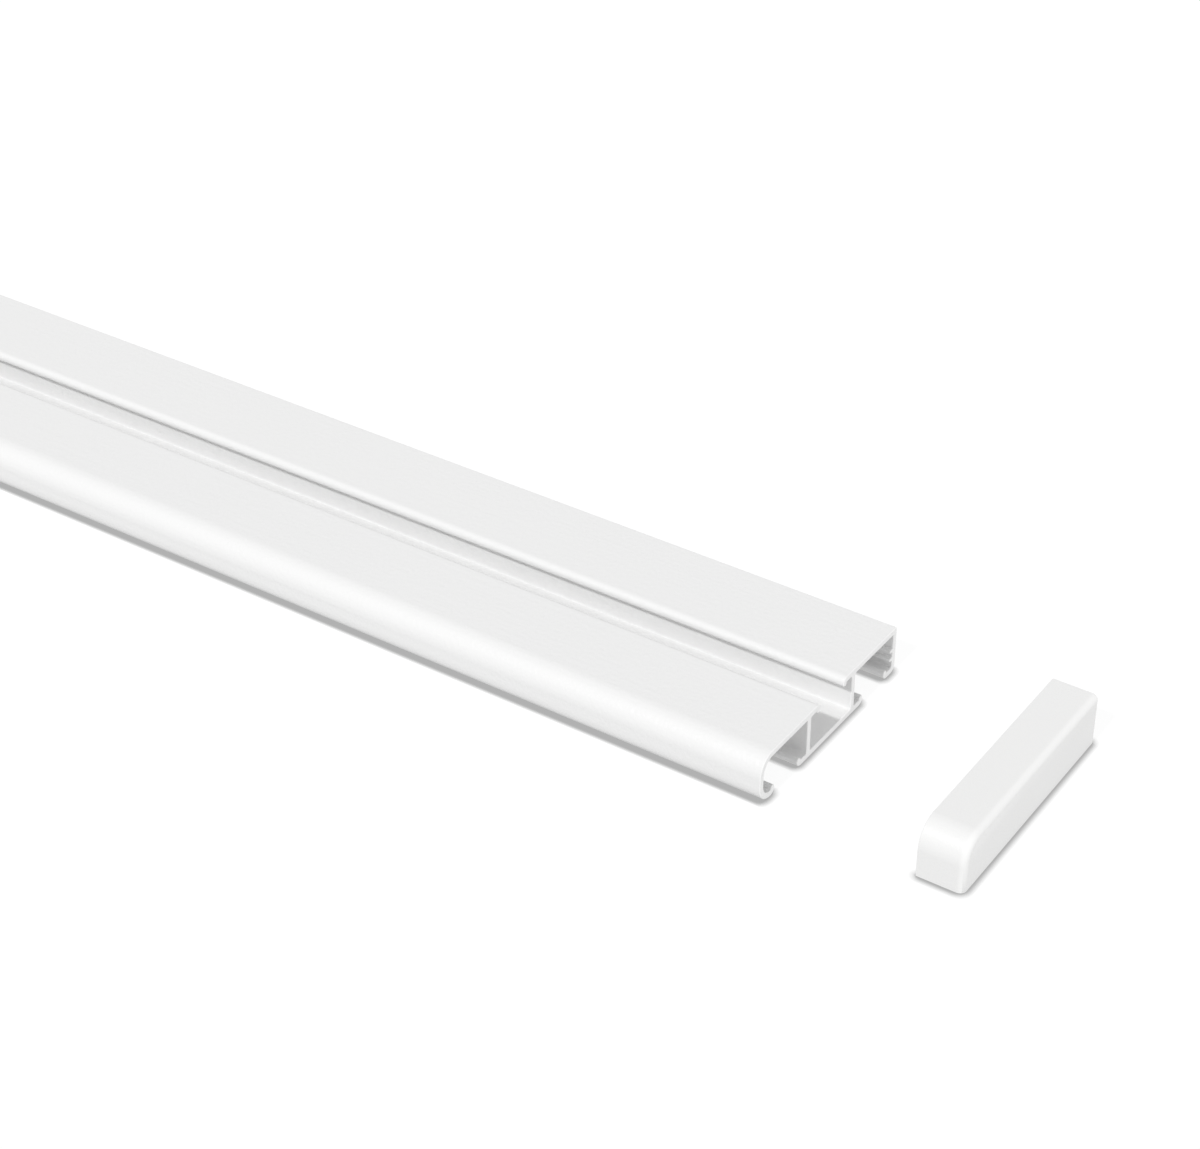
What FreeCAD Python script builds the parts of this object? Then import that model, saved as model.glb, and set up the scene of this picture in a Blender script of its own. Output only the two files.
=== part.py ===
"""Flat two-lane curtain track: an aluminium rail with a slip-on cap for each end.

The rail runs along X. It carries curtain runners in two lanes that open downwards,
and ceiling clips in a channel between them that opens upwards.
The origin is at mid-length, in the middle of the clip channel's mouth, level with the rail's top.
All lengths are in millimetres.
"""

import FreeCAD, Part
import math
import os

from FreeCAD import Vector

# Rail: length, walls and height
rail_length = 600.0
rail_height = 10.7
wall = 1.3

# Rail: spaces and ledges across the section, from the front to the back
front_lip = 4.1
slot_width = 8.4
plate_overhang = 3.5
channel_width = 15.6
back_lip = 3.3
mouth_width = 8.8

# Rail: edges that turn up along the runner slots and down along the clip mouth
bead_rise = 0.8
mouth_drop = 0.7

# Rail: outside radius of each bend, and the radius where the webs meet the plates
nose_top_radius = 4.3
nose_bottom_radius = 3.9
back_top_radius = 0.4
back_bottom_radius = 1.7
mouth_radius = 1.3
bead_radius = 1.4
root_radius = 0.4

# Rail: pair of ribs along the inside of the back wall, which guide a joining pin
rib_thickness = 0.8
rib_reach = 1.0
rib_level = 3.5
rib_pitch = 2.1

# End caps: moulded hoods, open below, that slip over the rail's ends
cap_clearance = 0.1
cap_wall = 0.8
cap_end_wall = 1.6
cap_cover = 8.1
cap_edge_radius = 1.4
cap_back_radius = 0.4
cap_seat_gap = 0.2
cap_gap = 33.7

# End caps: tongues that grip inside the lanes, below the rail's top plates
tongue_thickness = 1.5
tongue_width = 11.0
tongue_inset = 0.8
tongue_side_gap = 1.0
tongue_lead = 0.5

# How near an edge lies to a place to be taken as the edge there, and two points to be taken as one
edge_snap = 0.01
point_snap = 0.000001

# Places across the section, measured from the front face
half_wall = wall / 2
front_tip = wall + front_lip
plate_front = front_tip + slot_width
front_web = plate_front + plate_overhang
channel_front = front_web + wall
back_web = channel_front + channel_width
back_lane = back_web + wall
plate_back = back_lane + plate_overhang
back_tip = plate_back + slot_width
rail_depth = back_tip + back_lip + wall
channel_centre = (channel_front + back_web) / 2
mouth_front = channel_centre - mouth_width / 2
mouth_back = channel_centre + mouth_width / 2

# Heights in the section, measured from the underside
bead_top = wall + bead_rise
ceiling = rail_height - wall
mouth_bottom = ceiling - mouth_drop

# Sizes of the caps
cap_margin = cap_clearance + cap_wall
cap_length = cap_cover + cap_end_wall


def at(x, across, up):
    """Point of the model, from its place along the rail and in the section."""
    return Vector(x, across - channel_centre, up - rail_height)


def side_of(direction):
    """Unit vector square to a direction in the section, on its left seen from the rail's right end."""
    return Vector(1, 0, 0).cross(direction)


def straight(start, end):
    """Straight edge from one point to another, or none where an arc has used up the whole leg."""
    if start.distanceToPoint(end) < point_snap:
        return []
    return [Part.LineSegment(start, end).toShape()]


def rounded_path(corners, radii):
    """Edges from the first corner to the last, with an arc of the given radius at each one between."""
    edges = []
    start = corners[0]
    for before, corner, after, radius in zip(corners, corners[1:], corners[2:], radii):
        towards = (before - corner).normalize()
        away = (after - corner).normalize()
        half_angle = towards.getAngle(away) / 2
        leave = corner
        if radius > 0:
            reach = radius / math.tan(half_angle)
            crown = radius / math.sin(half_angle) - radius
            enter = corner + towards * reach
            leave = corner + away * reach
            middle = corner + (towards + away).normalize() * crown
            edges += straight(start, enter)
            edges.append(Part.Arc(enter, middle, leave).toShape())
        else:
            edges += straight(start, corner)
        start = leave
    return edges + straight(start, corners[-1])


def fitted_bends(corners, bends, half):
    """Outside bend radii, cut back where two bends don't fit on the leg between them."""
    reaches = [0.0] + [max(bend - half, 0.0) for bend in bends] + [0.0]
    shares = [1.0] * len(reaches)
    for i, (one, other) in enumerate(zip(corners, corners[1:])):
        needed = reaches[i] + reaches[i + 1]
        leg = (other - one).Length
        if needed > leg:
            shares[i] = min(shares[i], leg / needed)
            shares[i + 1] = min(shares[i + 1], leg / needed)
    return [half + reach * share for reach, share in zip(reaches, shares)][1:-1]


def wall_side(corners, bends, offset):
    """Edges of one side of a bent wall, at an offset from its middle line."""
    directions = [(b - a).normalize() for a, b in zip(corners, corners[1:])]
    normals = [side_of(direction) for direction in directions]
    points = [corners[0] + normals[0] * offset]
    radii = []
    for corner, one, other, heading, bend in zip(corners[1:], normals, normals[1:], directions[1:], bends):
        points.append(corner + (one + other) * (offset / (1 + one.dot(other))))
        inside = one.dot(heading) * offset > 0
        radii.append(max(bend - 2 * abs(offset), 0.0) if inside else bend)
    points.append(corners[-1] + normals[-1] * offset)
    return rounded_path(points, radii)


def round_end(end, inwards, half):
    """Half circle that closes the free end of a wall."""
    sideways = side_of(inwards) * half
    return Part.Arc(end + sideways, end - inwards * half, end - sideways).toShape()


def bent_wall(corners, bends, thickness):
    """Face of a wall along a middle line, with round ends and concentric bends."""
    half = thickness / 2
    radii = fitted_bends(corners, bends, half)
    edges = wall_side(corners, radii, half) + wall_side(corners, radii, -half)
    edges.append(round_end(corners[0], (corners[1] - corners[0]).normalize(), half))
    edges.append(round_end(corners[-1], (corners[-2] - corners[-1]).normalize(), half))
    return Part.Face(Part.Wire(Part.__sortEdges__(edges)))


def front_half(x):
    """Front lip, nose and top plate, ending in the lip on the near side of the clip mouth."""
    low = half_wall
    high = rail_height - half_wall
    tip = front_tip - half_wall
    lip = mouth_front - half_wall
    corners = [
        at(x, tip, bead_top - half_wall),
        at(x, tip, low),
        at(x, half_wall, low),
        at(x, half_wall, high),
        at(x, lip, high),
        at(x, lip, mouth_bottom + half_wall),
    ]
    return bent_wall(corners, [bead_radius, nose_bottom_radius, nose_top_radius, mouth_radius], wall)


def back_half(x):
    """Lip on the far side of the clip mouth, top plate, back wall and back lip."""
    low = half_wall
    high = rail_height - half_wall
    tip = back_tip + half_wall
    lip = mouth_back + half_wall
    back = rail_depth - half_wall
    corners = [
        at(x, lip, mouth_bottom + half_wall),
        at(x, lip, high),
        at(x, back, high),
        at(x, back, low),
        at(x, tip, low),
        at(x, tip, bead_top - half_wall),
    ]
    return bent_wall(corners, [mouth_radius, back_top_radius, back_bottom_radius, bead_radius], wall)


def bottom_plate(x):
    """Plate below the clip channel, with both edges turned up along the runner slots."""
    corners = [
        at(x, plate_front + half_wall, bead_top - half_wall),
        at(x, plate_front + half_wall, half_wall),
        at(x, plate_back - half_wall, half_wall),
        at(x, plate_back - half_wall, bead_top - half_wall),
    ]
    return bent_wall(corners, [bead_radius, bead_radius], wall)


def web(x, front):
    """Upright wall between the bottom plate and a top plate."""
    middle = front + half_wall
    return bent_wall([at(x, middle, half_wall), at(x, middle, rail_height - half_wall)], [], wall)


def rib(x, level):
    """Small ledge on the inside of the back wall."""
    root = rail_depth - half_wall
    tip = rail_depth - wall - rib_reach + rib_thickness / 2
    return bent_wall([at(x, root, level), at(x, tip, level)], [], rib_thickness)


def root_edges(solid):
    """Edges along the rail where the webs meet the plates."""
    places = [
        at(0, across, up)
        for across in (front_web, channel_front, back_web, back_lane)
        for up in (wall, ceiling)
    ]
    lengthwise = [edge for edge in solid.Edges if edge.BoundBox.XLength > wall]
    found = []
    for edge in lengthwise:
        middle = edge.CenterOfMass
        if any(middle.distanceToPoint(place) < edge_snap for place in places):
            found.append(edge)
    return found


def rail():
    """The extrusion: one section carried along the whole length."""
    start = -rail_length / 2
    walls = [back_half(start), bottom_plate(start), web(start, front_web), web(start, back_web)]
    walls += [rib(start, rib_level + i * rib_pitch) for i in range(2)]
    section = front_half(start).fuse(walls).removeSplitter()
    solid = section.Faces[0].extrude(Vector(rail_length, 0, 0))
    return solid.makeFillet(root_radius, root_edges(solid))


def hood_block(margin, back_radius, low, length):
    """Prism from x = 0 that covers the rail's front, top and back with a margin, down to a level."""
    front = -margin
    back = rail_depth + margin
    high = rail_height + margin
    corners = [at(0.0, front, low), at(0.0, front, high), at(0.0, back, high), at(0.0, back, low)]
    edges = rounded_path(corners, [nose_top_radius + margin, back_radius])
    edges += straight(corners[-1], corners[0])
    return Part.Face(Part.Wire(edges)).extrude(Vector(length, 0, 0))


def hood_shell():
    """Outer body of a cap: its end is rounded well at the front and top, and its back face only a little."""
    block = hood_block(cap_margin, 0.0, 0.0, cap_length)
    above = at(0.0, 0.0, cap_wall).z
    inside = at(0.0, rail_depth, 0.0).y
    end_face = max(block.Faces, key=lambda face: face.CenterOfMass.x)
    upper = [edge for edge in end_face.Edges if edge.CenterOfMass.z > above]
    shell = block.makeFillet(cap_edge_radius, [edge for edge in upper if edge.CenterOfMass.y < inside])
    back_face = max(shell.Faces, key=lambda face: face.CenterOfMass.y)
    upper = [edge for edge in back_face.Edges if edge.CenterOfMass.z > above]
    return shell.makeFillet(cap_back_radius, [edge for edge in upper if edge.CenterOfMass.x > cap_wall])


def tongue(across):
    """Flat tongue in a cap, with a bevelled tip that leads it into its lane."""
    top = ceiling - cap_clearance
    low = at(0.0, across, top - tongue_thickness)
    tip = tongue_inset
    base = cap_cover + cap_end_wall / 2
    outline = [
        Vector(base, 0, 0),
        Vector(tip, 0, 0),
        Vector(tip, 0, tongue_thickness - tongue_lead),
        Vector(tip + tongue_lead, 0, tongue_thickness),
        Vector(base, 0, tongue_thickness),
    ]
    face = Part.Face(Part.makePolygon([low + point for point in outline + outline[:1]]))
    return face.extrude(Vector(0, tongue_width, 0))


def end_cap():
    """Cap for the right end: rim at x = 0, closed end at the far side."""
    hollow = hood_block(cap_clearance, back_top_radius + cap_clearance, -cap_wall, cap_cover)
    tongues = [
        tongue(front_web - tongue_side_gap - tongue_width),
        tongue(back_lane + tongue_side_gap),
    ]
    return hood_shell().cut(hollow).fuse(tongues).removeSplitter()


def end_cap_right():
    """Cap of the right end, taken off and lying in line with the rail."""
    return end_cap().translated(Vector(rail_length / 2 + cap_gap, 0, 0))


def end_cap_left():
    """Cap of the left end, the mirror image of the other, pushed home."""
    mirrored = end_cap().mirror(Vector(0, 0, 0), Vector(1, 0, 0))
    return mirrored.translated(Vector(-rail_length / 2 + cap_cover - cap_seat_gap, 0, 0))


def main():
    os.makedirs("parts", exist_ok=True)
    pieces = {
        "rail": rail(),
        "end_cap_right": end_cap_right(),
        "end_cap_left": end_cap_left(),
    }
    for name, shape in pieces.items():
        shape.exportStep(f"parts/{name}.step")


main()
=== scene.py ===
"""Looks of the curtain track: a coated rail, its two moulded end caps, and a plain studio round them.

The pieces are worked out in the section's own places, across from the rail's front face and up from its
underside, in millimetres, and are put into the row frame in metres.
"""

import math

import bmesh
import bpy
import numpy as np
from mathutils import Matrix, Vector, geometry


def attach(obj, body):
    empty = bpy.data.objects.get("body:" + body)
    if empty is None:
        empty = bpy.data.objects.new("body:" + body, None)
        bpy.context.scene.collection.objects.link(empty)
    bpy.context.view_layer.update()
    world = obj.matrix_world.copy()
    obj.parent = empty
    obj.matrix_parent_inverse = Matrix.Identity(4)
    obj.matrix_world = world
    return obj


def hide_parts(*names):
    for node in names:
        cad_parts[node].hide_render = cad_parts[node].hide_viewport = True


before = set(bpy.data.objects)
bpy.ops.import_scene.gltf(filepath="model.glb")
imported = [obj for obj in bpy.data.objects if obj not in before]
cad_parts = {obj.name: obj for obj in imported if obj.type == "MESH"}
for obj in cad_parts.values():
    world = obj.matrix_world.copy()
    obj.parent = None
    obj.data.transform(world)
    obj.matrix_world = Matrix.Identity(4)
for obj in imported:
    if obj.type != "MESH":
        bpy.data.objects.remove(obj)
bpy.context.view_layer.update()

MM = 0.001

# Rail: its length, height and wall
rail_length = 600.0
rail_height = 10.7
wall = 1.3

# Rail: spaces and ledges across the section, from the front to the back
front_lip = 4.1
slot_width = 8.4
plate_overhang = 3.5
channel_width = 15.6
back_lip = 3.3
mouth_width = 8.8

# Rail: edges that turn up along the runner slots and down along the clip mouth
bead_rise = 0.8
mouth_drop = 0.7

# Rail: outside radius of each bend, and the radii of the roots, of sharp inside corners and behind the lips
nose_top_radius = 4.3
nose_bottom_radius = 3.9
back_top_radius = 0.4
back_bottom_radius = 1.7
mouth_radius = 1.3
bead_radius = 1.4
root_radius = 0.4
tight_radius = 0.1
lip_corner_radius = 0.05

# Rail: pair of ribs along the inside of the back wall
rib_thickness = 0.8
rib_reach = 1.0
rib_level = 3.5
rib_pitch = 2.1

# End caps: gaps from the rail's ends to the loose and the seated cap, and sizes of the hood and its tongues
cap_gap = 33.7
cap_seat_gap = 0.2
cap_clearance = 0.1
cap_wall = 0.8
cap_end_wall = 1.6
cap_cover = 8.1
cap_edge_radius = 1.4
cap_back_radius = 0.4
tongue_thickness = 1.5
tongue_width = 11.0
tongue_inset = 0.8
tongue_side_gap = 1.0
tongue_lead = 0.5

# Meshes: steps of the curves, the flats kept beside arcs and on round wall ends, and the edges' bevels
arc_steps = 9
fillet_steps = 12
rail_stations = 9
flat_hold = 0.25
flat_share = 1 / 3
end_flat = 0.02
saw_bevel = 0.12
mould_bevel = 0.12
smooth_angle = math.radians(32.0)

# Places across the section, measured from the front face
front_tip = wall + front_lip
plate_front = front_tip + slot_width
front_web = plate_front + plate_overhang
channel_front = front_web + wall
back_web = channel_front + channel_width
back_lane = back_web + wall
plate_back = back_lane + plate_overhang
back_tip = plate_back + slot_width
back_inside = back_tip + back_lip
rail_depth = back_inside + wall
rib_tip = back_inside - rib_reach
channel_centre = (channel_front + back_web) / 2
mouth_front = channel_centre - mouth_width / 2
mouth_back = channel_centre + mouth_width / 2
tongue_places = (front_web - tongue_side_gap - tongue_width, back_lane + tongue_side_gap)

# Heights in the section, measured from the underside
bead_top = wall + bead_rise
ceiling = rail_height - wall
mouth_bottom = ceiling - mouth_drop
rib_levels = (rib_level + rib_pitch, rib_level)

# Radii of round wall ends, outside sizes of the caps, and places of their rims along the rail
end_radius = (wall - end_flat) / 2
rib_radius = (rib_thickness - end_flat) / 2
cap_margin = cap_clearance + cap_wall
cap_length = cap_cover + cap_end_wall
right_rim = rail_length / 2 + cap_gap
left_rim = -rail_length / 2 + cap_cover - cap_seat_gap

# Finishes: roughness is the lowest, the highest and on bends, scales are in a metre, and relief in metres
powder_coat = {
    "tone": (0.89, 0.89, 0.888, 1.0),
    "shade": (0.875, 0.875, 0.875, 1.0),
    "roughness": (0.6, 0.7, 0.34),
    "dimple_scale": 1100.0,
    "line_share": 0.35,
    "relief": 0.00025,
}
moulded_plastic = {
    "tone": (0.89, 0.89, 0.886, 1.0),
    "shade": (0.872, 0.872, 0.87, 1.0),
    "roughness": (0.6, 0.7, 0.36),
    "dimple_scale": 3200.0,
    "line_share": 0.0,
    "relief": 0.00008,
}

# Finishes: patches of tone and of gloss in a metre, their sharpness and detail, and how far they drift
plain_sharpness = 0.5
tone_scale = 22.0
tone_detail = 3.0
tone_amount = 0.6
gloss_scale = 60.0
gloss_detail = 4.0
gloss_from = 0.3
gloss_to = 0.7

# Finishes: the skin's detail and strength, its dimples' sharpness, and its lines' number and stretch
skin_detail = 2.0
skin_strength = 0.5
dimple_sharpness = 0.45
line_scale = 900.0
line_stretch = (0.004, 1.0, 1.0)

# Cut ends: the saw blade's centre and its marks' depth in metres, its marks in a metre, and their finish
blade_centre = (0.0, 0.03, 0.14)
saw_scale = 6000.0
saw_detail = 3.0
saw_strength = 0.4
saw_relief = 0.00002
sawn_tone = (0.93, 0.93, 0.925, 1.0)
sawn_shade = (0.86, 0.86, 0.86, 1.0)
sawn_roughness = (0.4, 0.55, 0.4)
sawn_gloss_scale = 300.0

# Photograph: its width and focal length in pixels, and the camera's place, turn and reach
photo_width = 1200.0
focal_pixels = 2663.8
sensor_width = 36.0
camera_place = (493.967, -362.570, 309.836)
camera_azimuth = math.radians(34.376)
camera_elevation = math.radians(34.629)
camera_roll = math.radians(-0.277)
nearest_seen = 0.01
farthest_seen = 50.0

# Studio: the two lamps, and the light from all round
key_lamp = {
    "direction": (-0.02, -0.69, 0.724),
    "strength": 1.5,
    "spread": math.radians(3.0),
    "throws_shadows": True,
}
side_lamp = {
    "direction": (1.0, 0.0, 0.0),
    "strength": 0.86,
    "spread": math.radians(20.0),
    "throws_shadows": False,
}
ambient = 0.6
white = (1.0, 1.0, 1.0, 1.0)

# Floor: a table lit from below, its glow and tones, and how near, fast and deeply shade is painted round
# the part
floor_glow = 0.6
floor_lift = 0.9
floor_tone = 0.14
floor_painted_shade_reach = 0.0017
floor_painted_shade_power = 1.6
floor_painted_shade_depth = 0.43
floor_size = 8.0
floor_gap = 0.02

# Node sockets: kinds of value, and the numbers of a mix's two inputs and its result
value_socket = "NodeSocketFloat"
vector_socket = "NodeSocketVector"
colour_socket = "NodeSocketColor"
mix_sockets = {"FLOAT": (2, 3, 0), "RGBA": (6, 7, 2)}


def unit(vectors):
    """Each vector divided by its own length."""
    return vectors / np.linalg.norm(vectors, axis=-1, keepdims=True)


def bent_line(corners, radii, closed):
    """Points, outward normals and bend marks along a line whose corners are rounded.

    At a corner whose sides open by twice h, the arc's centre lies radius / sin(h) along the bisector,
    and its points are centre + radius * (sin(a) * along - cos(a) * bisector) for a from -(90 - h) to
    90 - h degrees. A point is also put on the flat before and after each arc, so that flats shade flat.
    The outside is on the line's right. Outside bends wider than a rib's end are marked with 1.
    Leading axes of corners and radii are separate lines.
    """
    before = np.roll(corners, 1, axis=-2)
    after = np.roll(corners, -1, axis=-2)
    inner = slice(None) if closed else slice(1, -1)
    legs = np.linalg.norm(after - corners, axis=-1)
    to_before = unit(before - corners)[..., inner, :]
    to_after = unit(after - corners)[..., inner, :]
    half = np.arccos(np.clip((to_before * to_after).sum(-1), -1.0, 1.0)) / 2
    bisector = unit(to_before + to_after)
    along = unit(to_after - to_before)
    reach = radii / np.tan(half)
    centre = corners[..., inner, :] + bisector * (radii / np.sin(half))[..., None]
    sweep = np.linspace(-1.0, 1.0, arc_steps) * (math.pi / 2 - half)[..., None]
    sideways = np.sin(sweep)[..., None] * along[..., None, :]
    spokes = sideways - np.cos(sweep)[..., None] * bisector[..., None, :]
    arcs = centre[..., None, :] + spokes * radii[..., None, None]
    crossed = to_before[..., 1] * to_after[..., 0] - to_before[..., 0] * to_after[..., 1]
    outwards = spokes * np.sign(crossed)[..., None, None]
    if closed:
        free = legs - reach - np.roll(reach, -1, axis=-1)
        hold = np.minimum(flat_hold, free * flat_share)
        hold_before = np.roll(hold, 1, axis=-1)
        hold_after = hold
    else:
        ends = np.zeros_like(reach[..., :1])
        padded = np.concatenate([ends, reach, ends], axis=-1)
        free = legs[..., :-1] - padded[..., :-1] - padded[..., 1:]
        hold = np.minimum(flat_hold, free * flat_share)
        hold_before = hold[..., :-1]
        hold_after = hold[..., 1:]
    entry = arcs[..., :1, :] + (to_before * hold_before[..., None])[..., None, :]
    leave = arcs[..., -1:, :] + (to_after * hold_after[..., None])[..., None, :]
    points = np.concatenate([entry, arcs, leave], axis=-2)
    normals = np.concatenate([outwards[..., :1, :], outwards, outwards[..., -1:, :]], axis=-2)
    marks = np.zeros(points.shape[:-1])
    marks[..., 1:-1] = ((crossed > 0) & (radii > rib_radius))[..., None]
    flat = points.shape[:-3] + (-1,)
    return points.reshape(flat + (2,)), normals.reshape(flat + (2,)), marks.reshape(flat)


def rail_outline():
    """Corners of the rail's section and their radii, once round with the outside on the right."""
    rib_half = rib_thickness / 2
    rib_spots = [
        spot
        for level in rib_levels
        for spot in (
            (back_inside, level + rib_half, tight_radius),
            (rib_tip, level + rib_half, rib_radius),
            (rib_tip, level - rib_half, rib_radius),
            (back_inside, level - rib_half, tight_radius),
        )
    ]
    spots = [
        (0.0, 0.0, nose_bottom_radius),
        (front_tip, 0.0, bead_radius),
        (front_tip, bead_top, end_radius),
        (front_tip - wall, bead_top, end_radius),
        (front_tip - wall, wall, tight_radius),
        (wall, wall, nose_bottom_radius - wall),
        (wall, ceiling, nose_top_radius - wall),
        (front_web, ceiling, root_radius),
        (front_web, wall, root_radius),
        (plate_front + wall, wall, tight_radius),
        (plate_front + wall, bead_top, end_radius),
        (plate_front, bead_top, end_radius),
        (plate_front, 0.0, bead_radius),
        (plate_back, 0.0, bead_radius),
        (plate_back, bead_top, end_radius),
        (plate_back - wall, bead_top, end_radius),
        (plate_back - wall, wall, tight_radius),
        (back_lane, wall, root_radius),
        (back_lane, ceiling, root_radius),
        (back_inside, ceiling, tight_radius),
        *rib_spots,
        (back_inside, wall, back_bottom_radius - wall),
        (back_tip + wall, wall, tight_radius),
        (back_tip + wall, bead_top, end_radius),
        (back_tip, bead_top, end_radius),
        (back_tip, 0.0, bead_radius),
        (rail_depth, 0.0, back_bottom_radius),
        (rail_depth, rail_height, back_top_radius),
        (mouth_back, rail_height, mouth_radius),
        (mouth_back, mouth_bottom, end_radius),
        (mouth_back + wall, mouth_bottom, end_radius),
        (mouth_back + wall, ceiling, lip_corner_radius),
        (back_web, ceiling, root_radius),
        (back_web, wall, root_radius),
        (channel_front, wall, root_radius),
        (channel_front, ceiling, root_radius),
        (mouth_front - wall, ceiling, lip_corner_radius),
        (mouth_front - wall, mouth_bottom, end_radius),
        (mouth_front, mouth_bottom, end_radius),
        (mouth_front, rail_height, mouth_radius),
        (0.0, rail_height, nose_top_radius),
    ]
    table = np.array(spots)
    return table[:, :2], table[:, 2]


def in_frame(x, section):
    """Points of the row frame in metres, from places along the rail and across and up in the section."""
    across = section[..., 0] - channel_centre
    up = section[..., 1] - rail_height
    return np.stack([np.broadcast_to(x, across.shape), across, up], axis=-1) * MM


def grid_faces(rows, columns, closed):
    """Four-cornered faces between neighbouring rows and columns of a grid of points."""
    row = np.arange(rows - 1)[:, None]
    column = np.arange(columns if closed else columns - 1)[None, :]
    following = (column + 1) % columns
    corners = [row * columns + column, row * columns + following]
    corners += [(row + 1) * columns + following, (row + 1) * columns + column]
    return np.stack(corners, axis=-1).reshape(-1, 4)


def new_piece(name, points, faces, flat_from, materials):
    """Mesh object from points and faces, smooth up to a face number and flat from there on."""
    mesh = bpy.data.meshes.new(name)
    mesh.from_pydata(points.reshape(-1, 3), [], faces)
    work = bmesh.new()
    work.from_mesh(mesh)
    bmesh.ops.recalc_face_normals(work, faces=work.faces)
    work.to_mesh(mesh)
    work.free()
    order = np.arange(len(mesh.polygons))
    mesh.polygons.foreach_set("use_smooth", order < flat_from)
    mesh.set_sharp_from_angle(angle=smooth_angle)
    for material in materials:
        mesh.materials.append(material)
    piece = bpy.data.objects.new(name, mesh)
    bpy.context.scene.collection.objects.link(piece)
    return piece


def mark_bends(piece, marks):
    """Keeps on each point whether it lies on an outside bend, for the finish there."""
    attribute = piece.data.attributes.new("bend", "FLOAT", "POINT")
    attribute.data.foreach_set("value", marks.ravel().astype(np.float32))


def rail_piece(materials):
    """The extrusion: its outline carried along X.

    At each end the outline is drawn in along its normals by the saw's bevel. The first material covers the
    sides, and the second the bevels and the two cut ends.
    """
    corners, radii = rail_outline()
    points, normals, marks = bent_line(corners, radii, closed=True)
    half = rail_length / 2
    inner = np.linspace(-half + saw_bevel, half - saw_bevel, rail_stations)
    places = np.concatenate([[-half], inner, [half]])
    insets = np.zeros(len(places))
    insets[[0, -1]] = saw_bevel
    section = points[None] - normals[None] * insets[:, None, None]
    solid = in_frame(places[:, None], section)
    rows, columns = section.shape[:2]
    sides = grid_faces(rows, columns, closed=True)
    ends = np.arange(rows * columns).reshape(rows, columns)[[0, -1]]
    piece = new_piece("rail_extrusion", solid, sides.tolist() + ends.tolist(), len(sides), materials)
    mark_bends(piece, np.broadcast_to(marks, (rows, columns)))
    cut = np.arange(len(piece.data.polygons)) >= len(sides) - columns
    cut[:columns] = True
    piece.data.polygons.foreach_set("material_index", cut.astype(np.int32))
    return piece


def hood_lines(margins, back_margins, back_radii, leans, lows):
    """Lines over the rail's front, top and back, each with its own margins, and their bend marks.

    A line that leans in by a bevel b starts at its lowest level, b further in than its back, and reaches
    the back b higher up. It ends at the front in the same way. With b below 0 it leans out instead.
    """
    front = -margins
    back = rail_depth + back_margins
    high = rail_height + margins
    foot = lows + np.abs(leans)
    corners = np.stack(
        [
            np.stack([back, foot], axis=-1),
            np.stack([back, high], axis=-1),
            np.stack([front, high], axis=-1),
            np.stack([front, foot], axis=-1),
        ],
        axis=-2,
    )
    radii = np.stack([back_radii, nose_top_radius + margins], axis=-1)
    points, _, marks = bent_line(corners, radii, closed=False)
    foot_back = np.stack([back - leans, lows], axis=-1)[:, None]
    foot_front = np.stack([front + leans, lows], axis=-1)[:, None]
    line = np.concatenate([foot_back, corners[:, :1], points, corners[:, -1:], foot_front], axis=1)
    edge = np.zeros_like(marks[:, :2])
    return line, np.concatenate([edge, marks, edge], axis=1)


def hood_stations():
    """Places of a cap's lines, their margins, back margins, back radii, leans and lowest levels.

    They run from the inside of its end out round its rim and on to the end face. Along the rounded end at
    angle a the line lies radius * (1 - sin(a)) short of the end face, and radius * (1 - cos(a)) inside the
    cap's front and top. Its back keeps its margin up to a smaller radius r from the end face, and a line d
    further on there lies r - root(r * r - d * d) inside it. The last array is 1 for the lines along the
    rounded end that lie short of the end face.
    """
    turn = np.linspace(0.0, math.pi / 2, fillet_steps)
    start = cap_length - cap_edge_radius
    inside_places = [cap_cover, cap_cover - flat_hold, mould_bevel, 0.0]
    outside_places = [0.0, mould_bevel, start - flat_hold]
    places = np.concatenate([inside_places, outside_places, start + cap_edge_radius * np.sin(turn)])
    order = np.arange(len(places))
    outside = order >= len(inside_places)
    rounding = order >= len(inside_places) + len(outside_places)
    leans = np.where(outside, mould_bevel, -mould_bevel)
    sides = np.where(outside, cap_margin, cap_clearance) - np.where(places == 0.0, leans, 0.0)
    margins = sides.copy()
    margins[rounding] -= cap_edge_radius * (1.0 - np.cos(turn))
    past = np.maximum(places - (cap_length - cap_back_radius), 0.0)
    back_margins = sides - cap_back_radius + np.sqrt(np.maximum(cap_back_radius**2 - past**2, 0.0))
    back_radii = np.where(outside, cap_back_radius, back_top_radius + cap_clearance)
    lows = np.where(order == order[-1], mould_bevel, 0.0)
    rounded = (rounding & (order < order[-1])).astype(float)
    return places, (margins, back_margins, back_radii, leans, lows), rounded


def tongue_grid(across):
    """Places along and in the section round a cap's tongue, from its root round its tip and back.

    There are four rows of them across the tongue, and the two at its sides are drawn in by the mould's
    bevel.
    """
    top = ceiling - cap_clearance
    low = top - tongue_thickness
    sides = across + np.array([0.0, mould_bevel, tongue_width - mould_bevel, tongue_width])
    inset = np.array([mould_bevel, 0.0, 0.0, mould_bevel])
    tip = tongue_inset + inset
    root = np.full_like(tip, cap_cover)
    along = np.stack([root, tip, tip, tip + tongue_lead, root], axis=-1)
    up = np.stack([low + inset, low + inset, top - tongue_lead - inset, top - inset, top - inset], axis=-1)
    section = np.stack([np.broadcast_to(sides[:, None], up.shape), up], axis=-1)
    return along, section


def pierced_wall(points, rings):
    """Triangles of a flat wall square to X, inside its first ring of points and outside the others."""
    flat = points * np.array([0.0, 1.0, 1.0])
    triangles = geometry.tessellate_polygon([flat[ring].tolist() for ring in rings])
    return np.concatenate(rings)[np.array(triangles)].tolist()


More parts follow.
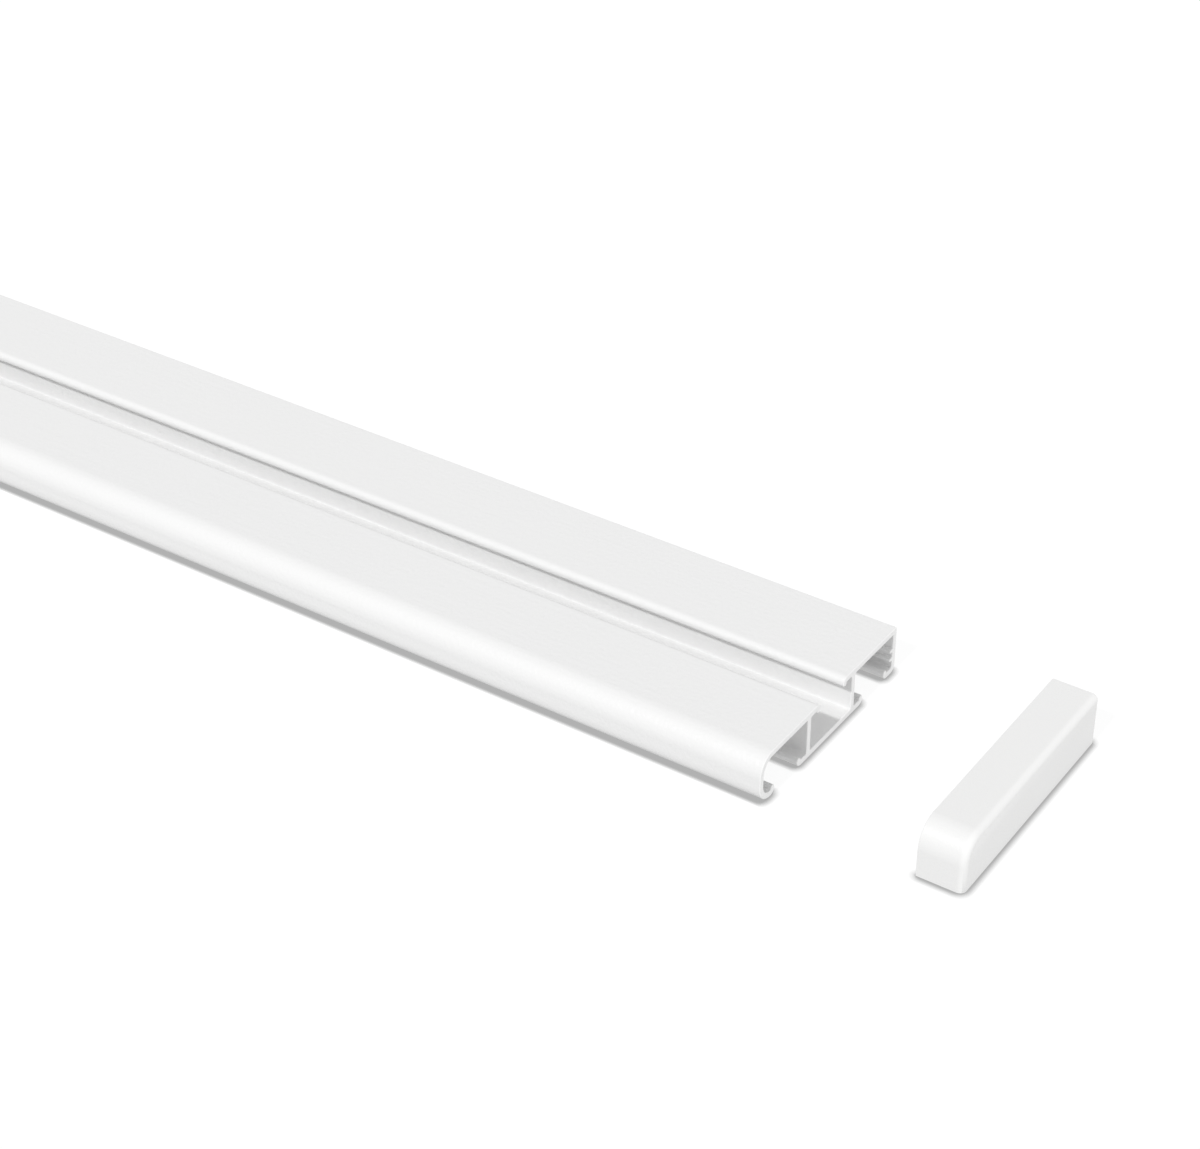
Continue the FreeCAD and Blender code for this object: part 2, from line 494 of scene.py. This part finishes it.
def cap_piece(name, rim, side, material):
    """A moulded hood with two tongues, its open rim at a place along the rail.

    Lines over the rail are carried from the inside of the end wall out round the rim and over the rounded
    end, and the wall's inside is pierced by the tongues' roots. side is 1 for a cap whose closed end faces
    +X and -1 for its mirror image.
    """
    places, shape, rounded = hood_stations()
    lines, marks = hood_lines(*shape)
    rows, columns = lines.shape[:2]
    shell = in_frame(places[:, None], lines)
    index = np.arange(rows * columns).reshape(rows, columns)
    faces = grid_faces(rows, columns, closed=False).tolist()
    smooth_count = len(faces)
    underside = index[:-1, 0].tolist() + index[:-1, -1][::-1].tolist()
    end_bevel = [index[-2, 0], index[-2, -1], index[-1, -1], index[-1, 0]]
    faces += [index[-1].tolist(), underside, end_bevel]
    tongues = [in_frame(*tongue_grid(across)) for across in tongue_places]
    grid = tongues[0].shape[:2]
    count = grid[0] * grid[1]
    starts = index.size + count * np.arange(len(tongues))
    numbers = [start + np.arange(count).reshape(grid) for start in starts]
    for start, number in zip(starts, numbers):
        faces += (grid_faces(*grid, closed=False) + start).tolist()
        faces += [number[0].tolist(), number[-1].tolist()]
    roots = [np.concatenate([number[:, 0], number[::-1, -1]]) for number in numbers]
    points = np.concatenate([shell.reshape(-1, 3)] + [tongue.reshape(-1, 3) for tongue in tongues])
    faces += pierced_wall(points, [index[0]] + roots)
    points = points * np.array([side, 1.0, 1.0]) + np.array([rim * MM, 0.0, 0.0])
    piece = new_piece(name, points, faces, smooth_count, [material])
    edges = np.zeros(len(points))
    edges[: index.size] = np.maximum(marks, rounded[:, None]).ravel()
    mark_bends(piece, edges)
    return piece


class Nodes:
    """Adds nodes to a tree, with their settings by name and their inputs by socket name or number."""

    def __init__(self, tree):
        self.tree = tree

    def feed(self, node, inputs):
        """Links each input to the socket given for it, or sets it to the value given."""
        for socket, value in inputs.items():
            if isinstance(value, bpy.types.NodeSocket):
                self.tree.links.new(value, node.inputs[socket])
            else:
                node.inputs[socket].default_value = value

    def add(self, kind, settings, inputs):
        """New node of a kind, with its settings and inputs."""
        node = self.tree.nodes.new(kind)
        for name, value in settings.items():
            setattr(node, name, value)
        self.feed(node, inputs)
        return node

    def math(self, operation, *values):
        """Result of an operation on one or two values."""
        return self.add("ShaderNodeMath", {"operation": operation}, dict(enumerate(values))).outputs[0]

    def mix(self, kind, share, one, other):
        """Blend from one value or colour to another by a share."""
        first, second, result = mix_sockets[kind]
        node = self.add("ShaderNodeMix", {"data_type": kind}, {0: share, first: one, second: other})
        return node.outputs[result]

    def noise(self, vector, scale, detail, sharpness):
        """Cloudy value between 0 and 1, in patches of one over the scale."""
        inputs = {"Vector": vector, "Scale": scale, "Detail": detail, "Roughness": sharpness}
        return self.add("ShaderNodeTexNoise", {}, inputs).outputs[0]

    def group(self, tree, inputs):
        """Only output of a placed node group."""
        return self.add("ShaderNodeGroup", {"node_tree": tree}, inputs).outputs[0]

    def object_place(self):
        """Place on the piece, in metres."""
        return self.add("ShaderNodeTexCoord", {}, {}).outputs["Object"]


def shader_group(name, inputs, outputs):
    """Empty node group with named sockets, its node adder, and its input sockets and output node."""
    group = bpy.data.node_groups.new(name, "ShaderNodeTree")
    for socket, kind in inputs.items():
        group.interface.new_socket(socket, in_out="INPUT", socket_type=kind)
    for socket, kind in outputs.items():
        group.interface.new_socket(socket, in_out="OUTPUT", socket_type=kind)
    nodes = Nodes(group)
    given = nodes.add("NodeGroupInput", {}, {}).outputs
    return group, nodes, given, nodes.add("NodeGroupOutput", {}, {})


def tone_group():
    """Colour that drifts a little, in patches of a given scale, from its tone towards a shade."""
    inputs = {
        "Vector": vector_socket,
        "Tone": colour_socket,
        "Shade": colour_socket,
        "Scale": value_socket,
        "Amount": value_socket,
    }
    group, nodes, given, out = shader_group("tone_drift", inputs, {"Color": colour_socket})
    patches = nodes.noise(given["Vector"], given["Scale"], tone_detail, plain_sharpness)
    share = nodes.math("MULTIPLY", patches, given["Amount"])
    nodes.feed(out, {"Color": nodes.mix("RGBA", share, given["Tone"], given["Shade"])})
    return group


def gloss_group():
    """Roughness that drifts between two values, and is a third on outside bends, which hands polish."""
    inputs = {
        "Vector": vector_socket,
        "Scale": value_socket,
        "Low": value_socket,
        "High": value_socket,
        "On bends": value_socket,
    }
    group, nodes, given, out = shader_group("gloss_drift", inputs, {"Roughness": value_socket})
    drift = {
        "Value": nodes.noise(given["Vector"], given["Scale"], gloss_detail, plain_sharpness),
        "From Min": gloss_from,
        "From Max": gloss_to,
        "To Min": given["Low"],
        "To Max": given["High"],
    }
    flats = nodes.add("ShaderNodeMapRange", {}, drift).outputs[0]
    bend = nodes.add("ShaderNodeAttribute", {"attribute_name": "bend"}, {}).outputs["Fac"]
    nodes.feed(out, {"Roughness": nodes.mix("FLOAT", bend, flats, given["On bends"])})
    return group


def skin_group():
    """Height of a fine skin: small dimples of a given scale, and long faint lines along X."""
    inputs = {
        "Vector": vector_socket,
        "Dimple scale": value_socket,
        "Line scale": value_socket,
        "Line share": value_socket,
    }
    group, nodes, given, out = shader_group("fine_skin", inputs, {"Height": value_socket})
    dimples = nodes.noise(given["Vector"], given["Dimple scale"], skin_detail, dimple_sharpness)
    stretch = {"Vector": given["Vector"], "Scale": line_stretch}
    stretched = nodes.add("ShaderNodeMapping", {"vector_type": "POINT"}, stretch).outputs[0]
    lines = nodes.noise(stretched, given["Line scale"], skin_detail, plain_sharpness)
    nodes.feed(out, {"Height": nodes.mix("FLOAT", given["Line share"], dimples, lines)})
    return group


def new_material(name):
    """Material with its node adder and its surface shader."""
    material = bpy.data.materials.new(name)
    material.use_nodes = True
    return material, Nodes(material.node_tree), material.node_tree.nodes["Principled BSDF"]


def gloss_inputs(place, scale, roughness):
    """Inputs of the gloss group: its patches, and the lowest and highest roughness and that on bends."""
    low, high, bends = roughness
    return {"Vector": place, "Scale": scale, "Low": low, "High": high, "On bends": bends}


def skin_material(name, groups, finish):
    """White finish: drifting tone and gloss over a fine skin."""
    material, nodes, surface = new_material(name)
    place = nodes.object_place()
    tone = {
        "Vector": place,
        "Tone": finish["tone"],
        "Shade": finish["shade"],
        "Scale": tone_scale,
        "Amount": tone_amount,
    }
    skin = {
        "Vector": place,
        "Dimple scale": finish["dimple_scale"],
        "Line scale": line_scale,
        "Line share": finish["line_share"],
    }
    bump = {
        "Strength": skin_strength,
        "Distance": finish["relief"],
        "Height": nodes.group(groups["skin"], skin),
    }
    looks = {
        "Base Color": nodes.group(groups["tone"], tone),
        "Roughness": nodes.group(groups["gloss"], gloss_inputs(place, gloss_scale, finish["roughness"])),
        "Normal": nodes.add("ShaderNodeBump", {}, bump).outputs["Normal"],
    }
    nodes.feed(surface, looks)
    return material


def sawn_material(groups):
    """Cut end of the rail: the same white with the saw's arcs.

    The arcs are uneven lines that depend only on the distance from the blade's centre in the cut's plane.
    """
    material, nodes, surface = new_material("sawn_end")
    place = nodes.object_place()
    spot = nodes.add("ShaderNodeSeparateXYZ", {}, {"Vector": place}).outputs
    flat = nodes.add("ShaderNodeCombineXYZ", {}, {"Y": spot["Y"], "Z": spot["Z"]}).outputs[0]
    reach = nodes.add("ShaderNodeVectorMath", {"operation": "DISTANCE"}, {0: flat, 1: blade_centre})
    waves = {"W": reach.outputs["Value"], "Scale": saw_scale, "Detail": saw_detail}
    arcs = nodes.add("ShaderNodeTexNoise", {"noise_dimensions": "1D"}, waves).outputs[0]
    bump = {"Strength": saw_strength, "Distance": saw_relief, "Height": arcs}
    gloss = gloss_inputs(place, sawn_gloss_scale, sawn_roughness)
    looks = {
        "Base Color": nodes.mix("RGBA", arcs, sawn_tone, sawn_shade),
        "Roughness": nodes.group(groups["gloss"], gloss),
        "Normal": nodes.add("ShaderNodeBump", {}, bump).outputs["Normal"],
    }
    nodes.feed(surface, looks)
    return material


def seen_ray(nodes):
    """1 for rays from the camera, a mirror or glass, and 0 for the rays that light a surface."""
    rays = nodes.add("ShaderNodeLightPath", {}, {}).outputs
    either = nodes.math("MAXIMUM", rays["Is Camera Ray"], rays["Is Glossy Ray"])
    return nodes.math("MAXIMUM", either, rays["Is Transmission Ray"])


def studio_world():
    """Even light from all round, which shows as white behind the part."""
    world = bpy.data.worlds.new("studio")
    bpy.context.scene.world = world
    world.use_nodes = True
    nodes = Nodes(world.node_tree)
    lift = nodes.math("MULTIPLY", seen_ray(nodes), 1.0 - ambient)
    strength = nodes.math("ADD", lift, ambient)
    nodes.feed(world.node_tree.nodes["Background"], {"Color": white, "Strength": strength})


def studio_floor():
    """Flat table lit from below, just under the part, which shows white away from it.

    The shade painted into the floor close to the part is the open share of the sky within a short reach,
    raised to a power and kept above a lowest value. Where the floor is seen, the painted shade dims its
    glow and its pale tone, and the tone takes the lamps' light and shadow. What it sheds on the part is an
    even glow.
    """
    half = floor_size / 2
    level = -(rail_height + floor_gap) * MM
    along = [-half, half, half, -half]
    across = [-half, -half, half, half]
    corners = np.column_stack([along, across, np.full(len(along), level)])
    material, nodes, surface = new_material("pale_floor")
    seen = seen_ray(nodes)
    # Painted shade: near the part, its ambient occlusion darkens the floor's glow and pale tone, not a lamp
    open_sky = nodes.add("ShaderNodeAmbientOcclusion", {}, {"Distance": floor_painted_shade_reach}).outputs["AO"]
    shade = nodes.math("MAXIMUM", nodes.math("POWER", open_sky, floor_painted_shade_power), floor_painted_shade_depth)
    seen_glow = nodes.math("MULTIPLY", shade, floor_lift)
    seen_painted_shade = nodes.math("MULTIPLY", seen, shade)
    looks = {
        "Base Color": nodes.math("MULTIPLY", seen_painted_shade, floor_tone),
        "Emission Strength": nodes.mix("FLOAT", seen, floor_glow, seen_glow),
        "Emission Color": white,
        "Roughness": 1.0,
        "Specular IOR Level": 0.0,
    }
    nodes.feed(surface, looks)
    material.cycles.emission_sampling = "NONE"
    mesh = bpy.data.meshes.new("studio_floor")
    mesh.from_pydata(corners, [], [list(range(len(corners)))])
    mesh.materials.append(material)
    floor = bpy.data.objects.new("studio_floor", mesh)
    bpy.context.scene.collection.objects.link(floor)


def studio_lamp(name, direction, strength, spread, throws_shadows):
    """Far lamp that shines from a direction, with shadows as soft as its spread is wide.

    A lamp that throws no shadows only fills in, and makes no gloss on the part either.
    """
    lamp = bpy.data.lights.new(name, "SUN")
    lamp.energy = strength
    lamp.angle = spread
    lamp.use_shadow = throws_shadows
    stand = bpy.data.objects.new(name, lamp)
    stand.rotation_mode = "QUATERNION"
    stand.rotation_quaternion = Vector(direction).to_track_quat("Z", "Y")
    stand.visible_glossy = throws_shadows
    bpy.context.scene.collection.objects.link(stand)


def photo_camera():
    """Camera of the photograph: turned to its azimuth and elevation, then rolled about its own axis."""
    along = math.cos(camera_azimuth)
    across = math.sin(camera_azimuth)
    flat = math.cos(camera_elevation)
    back = Vector((flat * across, -flat * along, math.sin(camera_elevation)))
    level = Vector((along, across, 0.0))
    rise = back.cross(level)
    right = level * math.cos(camera_roll) + rise * math.sin(camera_roll)
    up = rise * math.cos(camera_roll) - level * math.sin(camera_roll)
    data = bpy.data.cameras.new("photo")
    data.sensor_width = sensor_width
    data.lens = focal_pixels * sensor_width / photo_width
    data.clip_start = nearest_seen
    data.clip_end = farthest_seen
    camera = bpy.data.objects.new("photo", data)
    turn = Matrix((right, up, back)).transposed().to_4x4()
    camera.matrix_world = Matrix.Translation(Vector(camera_place) * MM) @ turn
    bpy.context.scene.collection.objects.link(camera)
    bpy.context.scene.camera = camera


groups = {"tone": tone_group(), "gloss": gloss_group(), "skin": skin_group()}
coat = skin_material("white_powder_coat", groups, powder_coat)
plastic = skin_material("white_moulded_plastic", groups, moulded_plastic)
sawn = sawn_material(groups)

rail = rail_piece([coat, sawn])
cap_right = cap_piece("end_cap_right_hood", right_rim, 1, plastic)
cap_left = cap_piece("end_cap_left_hood", left_rim, -1, plastic)

for piece, body, node, slot in (
    (rail, "rail", "rail", "rail_coat"),
    (cap_right, "right_cap", "end_cap_right", "cap_plastic"),
    (cap_left, "left_cap", "end_cap_left", "cap_plastic"),
):
    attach(piece, body)
    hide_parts(node)

studio_world()
studio_floor()
studio_lamp("key_lamp", **key_lamp)
studio_lamp("side_lamp", **side_lamp)
photo_camera()
bpy.context.scene.view_settings.view_transform = "Standard"
